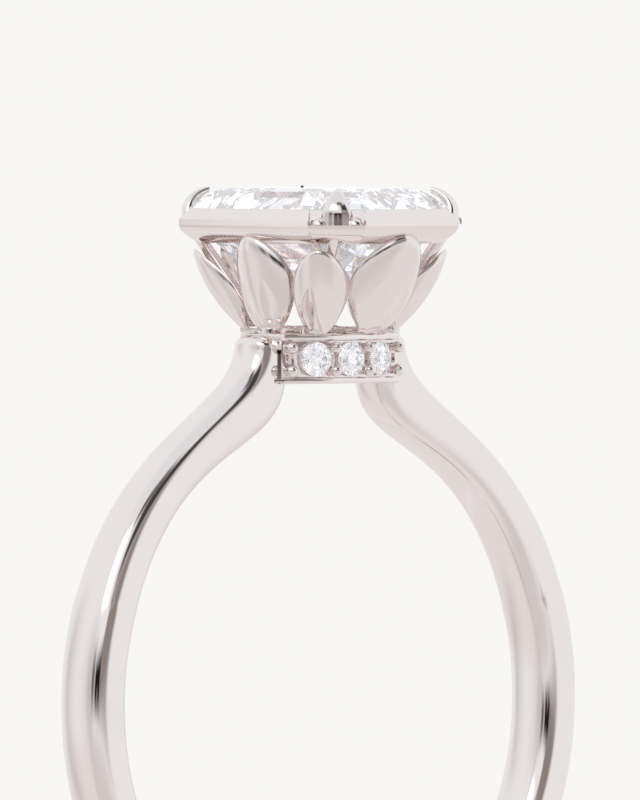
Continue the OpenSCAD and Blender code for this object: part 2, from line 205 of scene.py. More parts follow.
def even_normals(piece):
    """Lets the large faces, not the small roundings between them, set how the surface shades."""
    change = piece.modifiers.new("normals", "WEIGHTED_NORMAL")
    change.keep_sharp = True
    applied(piece)


def place(piece, node, material, sharp=38):
    """Scales a finished piece to metres, smooths it, and lets it stand for its CAD node."""
    piece.data.transform(Matrix.Scale(MM, 4))
    piece.data.shade_smooth()
    piece.data.set_sharp_from_angle(angle=math.radians(sharp))
    if sharp > 1:
        even_normals(piece)
    piece.data.materials.clear()
    piece.data.materials.append(material)
    piece.name = node + "_finished"
    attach(piece, "root")
    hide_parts(node)
    return piece


# ---------- Materials ----------

NOISE_LOW, NOISE_HIGH = 0.3, 0.7
GOLD_DEEP, GOLD_PALE = (0.835, 0.768, 0.742), (0.85, 0.785, 0.760)
DRIFT_SIZE = 1.6
POLISH_SIZE = 0.5
HAIRLINE_SIZE = 0.05
HAIRLINE_STRETCH = (1, 0.12, 1)
HAIRLINE_DEPTH = 0.001
DIAMOND_IOR = 2.417
# Painted glow: the diamonds' emission colour stands in for light that many facets return.
DIAMOND_PAINTED_GLOW = (0.97, 0.98, 1.0)
# Painted fire: spectral flecks in the stones' colour stand in for light that the facets split into colours.
PAINTED_FIRE_SIZE = 0.6
CLEAR, PAINTED_FIRE_BLUE, PAINTED_FIRE_AMBER, PAINTED_FIRE_ROSE = (0.985, 0.99, 1.0), (0.35, 0.5, 1.0), (1.0, 0.66, 0.3), (1.0, 0.35, 0.42)
PAINTED_FIRE_STOPS = [(0.40, CLEAR), (0.43, PAINTED_FIRE_BLUE), (0.46, CLEAR), (0.52, CLEAR),
          (0.545, PAINTED_FIRE_AMBER), (0.57, CLEAR), (0.60, PAINTED_FIRE_ROSE), (0.63, CLEAR)]


def material(name):
    """A new node material: its tree, its Principled shader and its object coordinates."""
    made = bpy.data.materials.new(name)
    made.use_nodes = True
    tree = made.node_tree
    shader = tree.nodes["Principled BSDF"]
    coordinates = tree.nodes.new("ShaderNodeTexCoord").outputs["Object"]
    return made, tree, shader, coordinates


def noise(tree, coordinates, size, detail=2.0, stretch=(1, 1, 1)):
    """A noise value whose features are about size millimetres across."""
    mapping = tree.nodes.new("ShaderNodeMapping")
    mapping.inputs["Scale"].default_value = stretch
    tree.links.new(coordinates, mapping.inputs["Vector"])
    texture = tree.nodes.new("ShaderNodeTexNoise")
    texture.inputs["Scale"].default_value = 1 / (size * MM)
    texture.inputs["Detail"].default_value = detail
    tree.links.new(mapping.outputs["Vector"], texture.inputs["Vector"])
    return texture.outputs["Fac"]


def ramp(tree, value, stops):
    """A colour ramp through (place, colour) stops."""
    made = tree.nodes.new("ShaderNodeValToRGB")
    points = made.color_ramp.elements
    while len(points) < len(stops):
        points.new(0.5)
    for point, (place_on, colour) in zip(points, stops):
        point.position = place_on
        point.color = (*colour, 1)
    tree.links.new(value, made.inputs["Fac"])
    return made.outputs["Color"]


def stretched(tree, value, low, high):
    """The value's usual range, stretched to run from low to high."""
    made = tree.nodes.new("ShaderNodeMapRange")
    made.inputs["From Min"].default_value = NOISE_LOW
    made.inputs["From Max"].default_value = NOISE_HIGH
    made.inputs["To Min"].default_value = low
    made.inputs["To Max"].default_value = high
    tree.links.new(value, made.inputs["Value"])
    return made.outputs["Result"]


def polished_gold(name, rough_low, rough_high, scratch):
    """White gold: a faint drift of colour, a drift of polish, and hairlines left by the buff."""
    made, tree, shader, coordinates = material(name)
    shader.inputs["Metallic"].default_value = 1.0
    drift = noise(tree, coordinates, DRIFT_SIZE)
    colour = ramp(tree, drift, [(NOISE_LOW, GOLD_DEEP), (NOISE_HIGH, GOLD_PALE)])
    tree.links.new(colour, shader.inputs["Base Color"])
    polish = noise(tree, coordinates, POLISH_SIZE, 3.0)
    tree.links.new(stretched(tree, polish, rough_low, rough_high), shader.inputs["Roughness"])
    hairlines = noise(tree, coordinates, HAIRLINE_SIZE, 2.0, HAIRLINE_STRETCH)
    bump = tree.nodes.new("ShaderNodeBump")
    bump.inputs["Strength"].default_value = scratch
    bump.inputs["Distance"].default_value = HAIRLINE_DEPTH * MM
    tree.links.new(hairlines, bump.inputs["Height"])
    tree.links.new(bump.outputs["Normal"], shader.inputs["Normal"])
    return made


def diamond(name, painted_fire, painted_glow):
    """Clear stone with painted fire: flecks of spectral colour that stand in for light split into colours by
    the facets. The glow is painted light, an emission that stands for light that many facets return.
    """
    made, tree, shader, coordinates = material(name)
    shader.inputs["Roughness"].default_value = 0.0
    shader.inputs["IOR"].default_value = DIAMOND_IOR
    shader.inputs["Transmission Weight"].default_value = 1.0
    # Painted light: an emission that stands in for light returned by the facets.
    shader.inputs["Emission Color"].default_value = (*DIAMOND_PAINTED_GLOW, 1)
    shader.inputs["Emission Strength"].default_value = painted_glow
    # The flecks are painted fire: colour that stands in for split light.
    stops = []
    for share, colour in PAINTED_FIRE_STOPS:
        stops.append((share, tuple(mix(a, b, painted_fire) for a, b in zip(CLEAR, colour))))
    painted_fire_flecks = noise(tree, coordinates, PAINTED_FIRE_SIZE, 1.0)
    tree.links.new(ramp(tree, painted_fire_flecks, stops), shader.inputs["Base Color"])
    return made


gold = polished_gold("white_gold_polished", rough_low=0.035, rough_high=0.075, scratch=0.25)
soft_gold = polished_gold("white_gold_petals", rough_low=0.09, rough_high=0.16, scratch=0.3)
# Each diamond's glow is painted light.
clear_diamond = diamond("diamond_crown", painted_fire=0.0, painted_glow=0.04)
# The pavilion carries the most painted fire.
painted_fire_diamond = diamond("diamond_pavilion", painted_fire=0.6, painted_glow=0.04)
accent_diamond = diamond("diamond_accent", painted_fire=0.12, painted_glow=0.02)


# ---------- Band and arms ----------

ARM_START = math.radians(72)
ARM_TOP_W = 1.5
ARM_TOP_T = 0.72
ARM_LEDGE = 0.39
ARM_DROP = 0.1
ARM_END_R = 0.42
ARM_LENGTH = 8.4
ARM_RINGS = 90
BAND_RINGS = 150
FIT = 0.02
SOLDERED = 0.003
EDGE_R = 0.48
EDGE_SHARE = 0.38
FLAT_CROWN = math.radians(5)
CROWN_GAIN = 2.5
SECTION_POINTS = 96


def arm_curve(start, finish, pull, lift, lean):
    """The Bezier points of one side of the right arm, as x and z. It ends at a lean in degrees."""
    reach = (finish - start).length
    leave = Vector((-math.cos(ARM_START), math.sin(ARM_START)))
    arrive = Vector((math.sin(math.radians(lean)), math.cos(math.radians(lean))))
    return start, start + leave * pull * reach, finish - arrive * lift * reach, finish


def on_band(r, angle):
    """A point of the round band, as x and z, at an angle from the top."""
    return Vector((r * math.sin(angle), r * math.cos(angle)))


def section_shape(depth, width):
    """A rounded rectangle as (across, along Y) pairs, with the faintly crowned faces of hand-filed metal."""
    edge = min(EDGE_R, EDGE_SHARE * min(depth, width))
    flats = [(side - 2 * edge) / FLAT_CROWN / CROWN_GAIN for side in (width, depth)]
    x = y = 0.0
    trail = []
    step = 2 * math.pi / SECTION_POINTS
    for k in range(SECTION_POINTS):
        turn = (k + 0.5) * step
        away = (turn + math.pi / 4) % (math.pi / 2) - math.pi / 4
        flat = flats[round(turn / (math.pi / 2)) % 2]
        bend = edge + flat * math.exp(-(away / FLAT_CROWN) ** 2 / 2)
        x -= bend * math.sin(turn) * step
        y += bend * math.cos(turn) * step
        trail.append((x, y))
    low_x, high_x = min(p[0] for p in trail), max(p[0] for p in trail)
    low_y, high_y = min(p[1] for p in trail), max(p[1] for p in trail)
    return [((p[0] - (low_x + high_x) / 2) * depth / (high_x - low_x),
             (p[1] - (low_y + high_y) / 2) * width / (high_y - low_y)) for p in trail]


def section(inner, outer, width, inset=0.0):
    """A ring of the band: inner and outer are x and z, and the width runs along Y."""
    span = outer - inner
    middle = (inner + outer) / 2
    way = span.normalized()
    ring = []
    for across, along in section_shape(span.length - 2 * inset, width - 2 * inset):
        point = middle + way * across
        ring.append(Vector((point.x, along, point.y)))
    return ring


def arm_rings(side):
    """Rings of one arm from the band to its rounded end. side is 1 for the right arm."""
    outer_end = Vector((collar_l / 2 + ARM_TOP_T, plate_top))
    inner_end = Vector((collar_l / 2 - ARM_LEDGE, plate_top - ARM_DROP))
    outer = arm_curve(on_band(band_r, ARM_START), outer_end, pull=0.57, lift=0.23, lean=6)
    inner = arm_curve(on_band(bore_r, ARM_START), inner_end, pull=0.65, lift=0.43, lean=14)
    end_share = ARM_END_R / ARM_LENGTH
    turns = [math.radians(10 * k) for k in range(9)]
    shares = spread(0, 1 - end_share, ARM_RINGS)[1:-1] + [1 - end_share * (1 - math.sin(a)) for a in turns]
    rings = []
    for t in shares:
        rise = max(0.0, (t - 1 + end_share) / end_share)
        inset = ARM_END_R * (1 - math.sqrt(max(0.0, 1 - rise * rise)))
        mirror = Vector((side, 1))
        low = bezier(inner, t) * mirror
        high = bezier(outer, t) * mirror
        rings.append(section(low, high, mix(band_w, ARM_TOP_W, math.sqrt(t)), inset))
    return rings


def make_shank():
    """The band and both arms as one skin, with a pocket for the collar."""
    right = arm_rings(1)[::-1]
    left = arm_rings(-1)
    angles = spread(ARM_START, 2 * math.pi - ARM_START, BAND_RINGS)
    band = [section(on_band(bore_r, a), on_band(band_r, a), band_w) for a in angles]
    shank = solid("shank", *loft(right + band + left))
    pocket = collar_l / 2 + SOLDERED
    combine(shank, block((-pocket, -band_w, collar_z), (pocket, band_w, bezel_top)), "DIFFERENCE")
    place(shank, "shank", gold)


# ---------- Outlines that rails, plates and the bezel follow ----------

def framed(name, outline, profile):
    """A closed frame: profile is (inset, z) pairs, and outline(inset) is its plan at an inset."""
    rings = [[Vector((x, y, z)) for x, y in outline(inset)] for inset, z in profile]
    return solid(name, *loft(rings, cyclic=True))


SOFT_STEPS = 4
SOFT_LIMIT = 0.45


def softened(corners, r):
    """The corner points of a section with each corner turned into an arc of about radius r."""
    made = []
    count = len(corners)
    for i, corner in enumerate(corners):
        here = Vector(corner)
        back = Vector(corners[i - 1]) - here
        ahead = Vector(corners[(i + 1) % count]) - here
        reach = min(r, back.length * SOFT_LIMIT, ahead.length * SOFT_LIMIT)
        start = here + back.normalized() * reach
        finish = here + ahead.normalized() * reach
        for share in spread(0, 1, SOFT_STEPS):
            rest = 1 - share
            made.append(tuple(rest ** 2 * start + 2 * share * rest * here + share ** 2 * finish))
    return made


# ---------- Collar ----------

COLLAR_SIDE_R = 6.5
RAIL_W = 0.62
RAIL_SOFT = 0.07
WALL_INSET = 0.12
WALL_R = COLLAR_SIDE_R - WALL_INSET
WALL_SOFT = 0.012
COLLAR_STEPS = 40
WELD = 0.0005


def collar_plan(inset):
    """Plan of the collar: curved long sides and straight ends, drawn in by an inset."""
    r = COLLAR_SIDE_R - inset
    end = collar_l / 2 - inset
    centre = collar_w / 2 - COLLAR_SIDE_R
    xs = spread(end, -end, COLLAR_STEPS)
    back = [(x, centre + math.sqrt(r * r - x * x)) for x in xs]
    return back + [(-x, -y) for x, y in back]


def make_rail(node, low_z, high_z):
    """A flat frame of the collar with softened edges."""
    corners = [(0, low_z), (0, high_z), (RAIL_W, high_z), (RAIL_W, low_z)]
    rail = framed(node, collar_plan, softened(corners, RAIL_SOFT))
    place(rail, node, gold)


def make_wall():
    """The CAD's drilled wall, with welded points and softened edges."""
    mesh = frame["nodes"]["collar_wall"].data.copy()
    mesh.transform(Matrix.Scale(1 / MM, 4))
    work = bmesh.new()
    work.from_mesh(mesh)
    bmesh.ops.remove_doubles(work, verts=work.verts, dist=WELD)
    bmesh.ops.dissolve_limit(work, angle_limit=math.radians(1), verts=work.verts, edges=work.edges)
    work.to_mesh(mesh)
    work.free()
    wall = bpy.data.objects.new("wall", mesh)
    bpy.context.scene.collection.objects.link(wall)
    place(bevelled(wall, WALL_SOFT), "collar_wall", gold)


# ---------- Accent stones and bead prongs ----------

ACCENT_SLOPE = math.radians(41)
CROWN_SLOPE = math.radians(34)
ACCENT_SEAT = 0.1
ACCENT_GIRDLE = 0.02
ACCENT_TABLE, ACCENT_STAR, ACCENT_HALF = 0.28, 0.395, 0.12
END_GAP_RATIO = 1.96
BEAD_D = 0.26
BEAD_HEAD_D = 0.36
BEAD_PEG_D = 0.18
BEAD_PEG_L = 0.3
BEAD_GAP = 0.02
BEAD_OVER = 0.1
BEAD_END_SHIFT = 0.14
HEAD_TIP = 0.015 * math.pi

accent_gap = (collar_l - 3 * accent_d) / (2 + 2 * END_GAP_RATIO)
accent_pitch = accent_d + accent_gap
accent_step = math.asin(accent_pitch / COLLAR_SIDE_R)
accent_rise = ACCENT_SEAT * math.tan(ACCENT_SLOPE) + FIT
bead_offset = accent_d / 2 + FIT - BEAD_GAP - BEAD_HEAD_D / 2


def side_frame(front, angle):
    """Centre of a curved side, and the way out of it at an angle. front is -1 or 1 for the back."""
    centre = Vector((0, front * (collar_w / 2 - COLLAR_SIDE_R), accent_z))
    out = Vector((front * math.sin(angle), front * math.cos(angle), 0))
    return centre, out


def brilliant(centre, out, d):
    """Points and faces of a round brilliant cut, its table facing out."""
    along = UP.cross(out)
    r = d / 2
    table_r = ACCENT_TABLE * d
    star_r = ACCENT_STAR * d
    half_r = ACCENT_HALF * d
    eighth = math.pi / 4
    lean_in = math.cos(eighth / 2)

    def point(radius, turn, height):
        return centre + out * height + along * radius * math.cos(turn) + UP * radius * math.sin(turn)

    crown_top = ACCENT_GIRDLE + (r - table_r) * math.tan(CROWN_SLOPE)
    star_top = ACCENT_GIRDLE + (r - star_r * lean_in) * math.tan(CROWN_SLOPE)
    half_low = -(r - half_r * lean_in) * math.tan(ACCENT_SLOPE)
    table = [point(table_r, k * eighth, crown_top) for k in range(8)]
    stars = [point(star_r, (k + 0.5) * eighth, star_top) for k in range(8)]
    upper = [point(r, k * eighth / 2, ACCENT_GIRDLE) for k in range(16)]
    lower = [point(r, k * eighth / 2, 0) for k in range(16)]
    halves = [point(half_r, (k + 0.5) * eighth, half_low) for k in range(8)]
    culet = [point(0, 0, -r * math.tan(ACCENT_SLOPE))]
    points = table + stars + upper + lower + halves + culet
    star_0, upper_0, lower_0, half_0, tip = 8, 16, 32, 48, 56
    faces = [tuple(range(8))]
    for k in range(8):
        n = (k + 1) % 8
        b = (k - 1) % 8
        g0, g1, g2 = 2 * k, 2 * k + 1, (2 * k + 2) % 16
        faces.append((k, n, star_0 + k))
        faces.append((k, star_0 + k, upper_0 + g0, star_0 + b))
        faces.append((star_0 + k, upper_0 + g0, upper_0 + g1))
        faces.append((star_0 + k, upper_0 + g1, upper_0 + g2))
        faces.append((upper_0 + g0, upper_0 + g1, lower_0 + g1, lower_0 + g0))
        faces.append((upper_0 + g1, upper_0 + g2, lower_0 + g2, lower_0 + g1))
        faces.append((half_0 + k, lower_0 + g0, lower_0 + g1))
        faces.append((half_0 + k, lower_0 + g1, lower_0 + g2))
        faces.append((tip, half_0 + k, lower_0 + g0, half_0 + b))
    return points, faces


def make_accents():
    """Three accent stones on each long side of the collar."""
    names = {-1: "left", 0: "middle", 1: "right"}
    for front, side in ((-1, "front"), (1, "back")):
        for step in (-1, 0, 1):
            node = f"accent_{side}_{names[step]}"
            centre, out = side_frame(front, front * step * accent_step)
            seat = centre + out * (WALL_R + accent_rise)
            stone = solid(node, *brilliant(seat, out, accent_d))
            place(stone, node, accent_diamond, sharp=1)


def bead_profile():
    """A prong's turned shape from its peg to its rounded head, measured from the side's centre."""
    head = WALL_R + accent_rise + BEAD_OVER
    r = BEAD_HEAD_D / 2
    neck = math.asin(BEAD_D / BEAD_HEAD_D)
    shape = [(WALL_R - BEAD_PEG_L + FIT, BEAD_PEG_D / 2), (WALL_R, BEAD_PEG_D / 2), (WALL_R, BEAD_D / 2)]
    for turn in spread(neck, math.pi - HEAD_TIP, 14):
        shape.append((head - r * math.cos(turn), r * math.sin(turn)))
    return shape


def make_bead_prongs():
    """Eight prongs on each long side, as separate pins of one piece."""
    shares = [turn * share for turn in SIDES for share in (0.5, 1.5 + BEAD_END_SHIFT)]
    for front, side in ((-1, "front"), (1, "back")):
        points, faces = [], []
        for share in shares:
            for lift in SIDES:
                centre, out = side_frame(front, share * accent_step)
                start = centre + Vector((0, 0, lift * bead_offset))
                more, skin = loft(lathe(start, out, bead_profile(), 28))
                faces += [tuple(k + len(points) for k in face) for face in skin]
                points += more
        prongs = solid("prongs", points, faces)
        place(prongs, f"bead_prongs_{side}", gold)


# ---------- Centre stone ----------

CORNER_SHARE = 2 - math.sqrt(2)
STONE_CORNER = 1.01
GIRDLE_T = 0.1
PAVILION_SLOPES = (55, 45, 36)
PAVILION_BREAKS = (0.225, 0.58)
KEEL_IN = 0.03
FIRE_DROP = 0.01
CROWN_STEPS = ((0.0, 0.0), (0.6, 0.55), (1.1, 0.84), (1.6, 1.0))
girdle_z = bezel_top - GIRDLE_T
crown_h = table_z - bezel_top


def octagon(x, y, c):
    """Plan of a rectangle with cut corners."""
    return [(x, c - y), (x, y - c), (x - c, y), (c - x, y),
            (-x, y - c), (-x, c - y), (c - x, -y), (x - c, -y)]


def stone_ring(inset, z, grow=0.0):
    """The stone's outline at one step of the cut."""
    corner = STONE_CORNER * (1 - 2 * inset / stone_w) + CORNER_SHARE * grow
    plan = octagon(stone_w / 2 - inset + grow, stone_l / 2 - inset + grow, corner)
    return [Vector((x, y, z)) for x, y in plan]


def stone_steps():
    """Each step of the cut as an inset and a height, from the keel to the table."""
    half = stone_w / 2
    insets = [0.0] + [share * half for share in PAVILION_BREAKS] + [half - KEEL_IN]
    pavilion = [(0.0, girdle_z)]
    for i, slope in enumerate(PAVILION_SLOPES):
        fall = (insets[i + 1] - insets[i]) * math.tan(math.radians(slope))
        pavilion.append((insets[i + 1], pavilion[-1][1] - fall))
    crown = [(share_in * crown_h, bezel_top + share_up * crown_h) for share_in, share_up in CROWN_STEPS]
    return pavilion[::-1] + crown


def stone_solid(grow=0.0):
    """The cut stone, or the room for it when it is grown."""
    return solid("stone", *loft([stone_ring(inset, z, grow) for inset, z in stone_steps()]))


def make_centre_stone():
    """The centre stone, whose pavilion has more painted fire than its crown."""
    stone = stone_solid()
    place(stone, "centre_stone", clear_diamond, sharp=1)
    stone.data.materials.append(painted_fire_diamond)
    for face in stone.data.polygons:
        face.material_index = 1 if face.center.z < (girdle_z - FIRE_DROP) * MM else 0


# ---------- Bezel ----------

BEZEL_WALL = 0.3
BEZEL_OUT = BEZEL_WALL + FIT
UNDER_H = 0.57
UNDER_IN = 0.62
RIM_H = 0.33
RIM_IN = 0.24
UPRIGHT_SOFT = 0.05
EDGE_SOFT = 0.035
INNER_SOFT = 0.03
LEDGE_DROP = 0.47
BEARING_RISE = 0.38
POST_D = 0.36
POST_FOOT_IN = (1.1, 0.45)
POST_RISE = 0.12
GROOVE = 0.05
NOTCH_DEPTH = 0.66
CUT_OVER = 0.5
SEAT_ROOM = 2.5 * FIT
bezel_corner = STONE_CORNER + CORNER_SHARE * BEZEL_OUT
ledge_z = bezel_top - LEDGE_DROP
bearing_z = bezel_z + BEARING_RISE
corner_middle = Vector((bezel_x - bezel_corner / 2, bezel_y - bezel_corner / 2, 0))
corner_out = Vector((math.sqrt(0.5), math.sqrt(0.5), 0))
corner_along = Vector((-math.sqrt(0.5), math.sqrt(0.5), 0))
notch_w = bezel_corner * math.sqrt(2) - 2 * FIT
post_in = BEZEL_WALL * math.sqrt(0.5)
post_top = Vector((corner_middle.x - post_in, corner_middle.y - post_in, ledge_z))
post_foot = Vector((collar_l / 2 - POST_FOOT_IN[0], collar_w / 2 - POST_FOOT_IN[1], plate_z + GROOVE))


def bezel_plan(inset):
    """Plan of the bezel drawn in by an inset, with its eight upright edges softened."""
    plan = octagon(bezel_x - inset, bezel_y - inset, bezel_corner - CORNER_SHARE * inset)
    return softened(plan, UPRIGHT_SOFT)


def seat_in(z):
    """Inset of the sloping seat at a height."""
    return BEZEL_OUT + (girdle_z - z) / math.tan(math.radians(PAVILION_SLOPES[0])) - SEAT_ROOM


def bezel_profile():
    """Section of the bezel: its curved underside, the rim's softened edge, and the inside."""
    under = [(UNDER_IN * (1 - h) ** 2, bezel_z + h * UNDER_H) for h in spread(0, 1, 28)]
    rim = softened([(RIM_IN, bezel_top), (BEZEL_WALL, bezel_top), (BEZEL_WALL, bearing_z),
                    (seat_in(bearing_z), bearing_z), (seat_in(bezel_z), bezel_z), under[0]], INNER_SOFT)
    arc = SOFT_STEPS + 1
    edge = softened([under[-1], (0.0, bezel_top - RIM_H), (RIM_IN, bezel_top)], EDGE_SOFT)[arc:2 * arc]
    return under[1:] + edge + rim


def corner_block(low_depths, high_depths, low_z, high_z, width):
    """A block square to a corner's face: its inner and outer depths at its foot and at its top."""
    points = []
    for z, depths in ((low_z, low_depths), (high_z, high_depths)):
        for y in SIDES:
            for x in depths:
                points.append(corner_middle + corner_out * x + corner_along * y * width / 2 + UP * z)
    return solid("corner_block", points, BOX_FACES)


def post_solid(grow):
    """The post from the upper plate into the claw, or the room for it when it is grown."""
    way = post_top - post_foot
    r = POST_D / 2 + grow
    return turned("post", post_foot, way, [(0, r), (way.length + POST_RISE, r)])


def mirrored(piece, x, y):
    """A copy of a piece made at the back right corner, for the corner or side that x and y name."""
    mesh = piece.data.copy()
    mesh.transform(Matrix.Diagonal((x, y, 1, 1)))
    if x * y < 0:
        mesh.flip_normals()
    twin = bpy.data.objects.new(piece.name, mesh)
    bpy.context.scene.collection.objects.link(twin)
    return twin


def discard(*pieces):
    """Removes pieces that only served as patterns."""
    for piece in pieces:
        bpy.data.objects.remove(piece)


def make_bezel():
    """The bezel with a notch and a post hole at each corner."""
    bezel = framed("bezel", bezel_plan, bezel_profile())
    depths = (-NOTCH_DEPTH, CUT_OVER)
    notch = corner_block(depths, depths, ledge_z, bezel_top + CUT_OVER, notch_w)
    post = post_solid(FIT)
    for x in SIDES:
        for y in SIDES:
            combine(bezel, mirrored(notch, x, y), "DIFFERENCE")
            combine(bezel, mirrored(post, x, y), "DIFFERENCE")
    discard(notch, post)
    place(bezel, "bezel_frame", gold, sharp=32)


# ---------- Claws ----------

CLAW_W = 0.93
CLAW_IN = 0.03
CLAW_REACH = 0.88
CLAW_STRAIGHT = 0.3
CLAW_TIP_T = 0.16
CLAW_T = 0.58
CLAW_TAPER = 0.9
CLAW_TAPER_POWER = 1.15
CLAW_WIDEST = 0.44
CLAW_TIP_TURN = math.radians(88)
CLAW_POINTS = 48
SHOULDER_R = 0.27
BACK_WALL_IN = 0.36
BACK_WALL_FOOT = 0.235
BACK_WALL_TOP = 0.3
CLAW_OVER = 0.035
SHOULDER_SINK = 0.02
claw_top = table_z + CLAW_OVER


def claw_ring(turn, z):
    """Ring of a claw: turn goes from 0 at the foot to a right angle at the tip."""
    share = turn / (math.pi / 2)
    thick = mix(CLAW_T, CLAW_TIP_T, share)
    half_w = CLAW_W / 2 * (1 - CLAW_TAPER * share ** CLAW_TAPER_POWER)
    face = -CLAW_IN - CLAW_REACH * (1 - math.cos(turn))
    ring = []
    for k in range(CLAW_POINTS):
        a = 2 * math.pi * k / CLAW_POINTS
        side = CLAW_WIDEST if math.cos(a) > 0 else 1 - CLAW_WIDEST
        inward = thick * (CLAW_WIDEST - side * math.cos(a))
        point = corner_middle + corner_out * (face - inward * math.cos(turn))
        ring.append(point + corner_along * half_w * math.sin(a) + UP * (z - inward * math.sin(turn)))
    return ring


def claw_rings():
    """Rings from the ledge up a short straight and over to the tip on the stone's table."""
    start = ledge_z + CLAW_STRAIGHT
    rings = [claw_ring(0, ledge_z), claw_ring(0, ledge_z + CLAW_STRAIGHT / 2)]
    for turn in spread(0, CLAW_TIP_TURN, 44):
        rings.append(claw_ring(turn, start + (claw_top - start) * math.sin(turn)))
    return rings


def shoulder(side):
    """A domed tab that stands on the ledge beside the claw."""
    depth = BEZEL_WALL - FIT
    middle = corner_middle + corner_along * side * (notch_w / 2 - FIT - SHOULDER_R) - corner_out * depth
    foot_z = ledge_z - SHOULDER_SINK
    rings = []
    for rise in [math.radians(7 * k) for k in range(13)]:
        r = SHOULDER_R * math.cos(rise)
        out = (depth - FIT) * math.sin(rise)
        low = math.asin(SHOULDER_SINK / r)
        foot = middle + corner_out * out
        turns = spread(low, math.pi - low, 24)
        rings.append([foot + corner_along * r * math.cos(a) + UP * (foot_z + r * math.sin(a)) for a in turns])
    return solid("shoulder", *loft(rings))


def make_claws():
    """A claw with its two shoulders, the wall behind them and its post, once for each corner."""
    claw = solid("claw", *loft(claw_rings()))
    for side in SIDES:
        combine(claw, shoulder(side), "UNION")
    wall = corner_block((-BACK_WALL_IN, -BACK_WALL_FOOT), (-BACK_WALL_IN, -BACK_WALL_TOP),
                        ledge_z + FIT, bezel_top - FIT, notch_w - 2 * FIT)
    combine(claw, wall, "UNION")
    combine(claw, post_solid(0), "UNION")
    combine(claw, stone_solid(FIT / 2), "DIFFERENCE")
    for x, end in ((-1, "left"), (1, "right")):
        for y, side in ((-1, "front"), (1, "back")):
            place(mirrored(claw, x, y), f"claw_{side}_{end}", gold)
    discard(claw)


# ---------- Petals ----------

PETAL_T = 0.28
SIDE_TIP_T = 0.21
CORNER_TIP_T = 0.1
PETAL_SIDE_W = 2.3
PETAL_END_W = 2.5
PETAL_CORNER_W = 1.7
CORNER_FACE = 40
PETAL_LAP = 0.2
PETAL_DROP = 0.19
PETAL_PEG_D = 0.3
WIDEST = 0.55
TIP_POWER = 0.54
FOOT_SHARE = 0.3
FOOT_POWER = 0.75
OUTLINE_TRIES = 18
SIDE_BULGE = 0.39
CORNER_BULGE = 0.7
SIDE_ROLL = 0.4
CORNER_ROLL = 0.13
FOOT_ROLL = 0.08
ROLL_DROP = 0.9
BACK_THIN = 0.06
FOOT_H = 0.2
FOOT_SOFT = 0.07
FOOT_OVER = 0.1
FLUTE_DEPTH = 0.06
FLUTE_LOW = 0.03
FLUTE_TOP = 0.56
FLUTE_HALF_W = 0.27
FLUTE_LOW_OFF = 0.5
FLUTE_TOP_OFF = 0.34
LEAN_STRAIGHT = 0.35
BLADE_LOW = 0.002
BLADE_SPAN = 0.9965
PETAL_ACROSS = 56
PETAL_UP = 90

SIDE_BASE_IN = 0.45
SIDE_TIP_IN = 0.05
SIDE_POWER = 0.48
END_BASE_OUT = 0.7
END_POWER = 0.6
END_ARM_IN = 0.25
END_ARM_OUT = 0.15
END_ARM_SOFT = 0.06
CORNER_BASE = Vector((-0.77, 0.19, 0))
CORNER_TIP = Vector((-0.47, -1.27, 0))
CORNER_POWER = 2.2
EYELET_WALL = 0.18
EYELET_SOFT = 0.06
EYELET_ARM_SOFT = 0.05
wide_tip_z = bezel_z + PETAL_LAP
peg_low = plate_z + GROOVE
peg_r = PETAL_PEG_D / 2


def petal_width(t):
    """Share of a petal's full width at a share t of its height."""
    if t < WIDEST:
        return mix(FOOT_SHARE, 1, math.sin(math.pi / 2 * t / WIDEST) ** FOOT_POWER)
    return max(0.0, math.cos(math.pi / 2 * (t - WIDEST) / (1 - WIDEST))) ** TIP_POWER


def edge_share(s, t):
    """How near a point of a petal is to its outline: 0 in the middle and 1 on the outline."""
    if t <= WIDEST:
        return abs(s)
    rise = (t - WIDEST) / (1 - WIDEST)
    aside = abs(s) * petal_width(t)
    low, high = max(rise, aside), 1.0
    for _ in range(OUTLINE_TRIES):
        middle = (low + high) / 2
        if middle * math.cos(math.pi / 2 * min(1.0, rise / middle)) ** TIP_POWER < aside:
            low = middle
        else:
            high = middle
    return high


def flute(s, t):
    """Depth of the two leaf-shaped hollows in the lower half of a petal."""
    if not FLUTE_LOW < t < FLUTE_TOP:
        return 0.0
    share = (t - FLUTE_LOW) / (FLUTE_TOP - FLUTE_LOW)
    half_w = FLUTE_HALF_W * math.sin(math.pi * share ** 0.8) ** 0.9
    off = abs(abs(s) - mix(FLUTE_LOW_OFF, FLUTE_TOP_OFF, share))
    if off >= half_w:
        return 0.0
    return FLUTE_DEPTH * min(1.0, 4 * half_w) * (1 - (off / half_w) ** 2)


def petal_reach(t, power, straight):
    """Share of a petal's lean at a share t of its height, and how fast it grows there."""
    rest = 1 - straight
    if power < 1:
        return t ** power, power * t ** (power - 1)
    return rest * (1 - (1 - t) ** power) + straight * t, rest * power * (1 - t) ** (power - 1) + straight


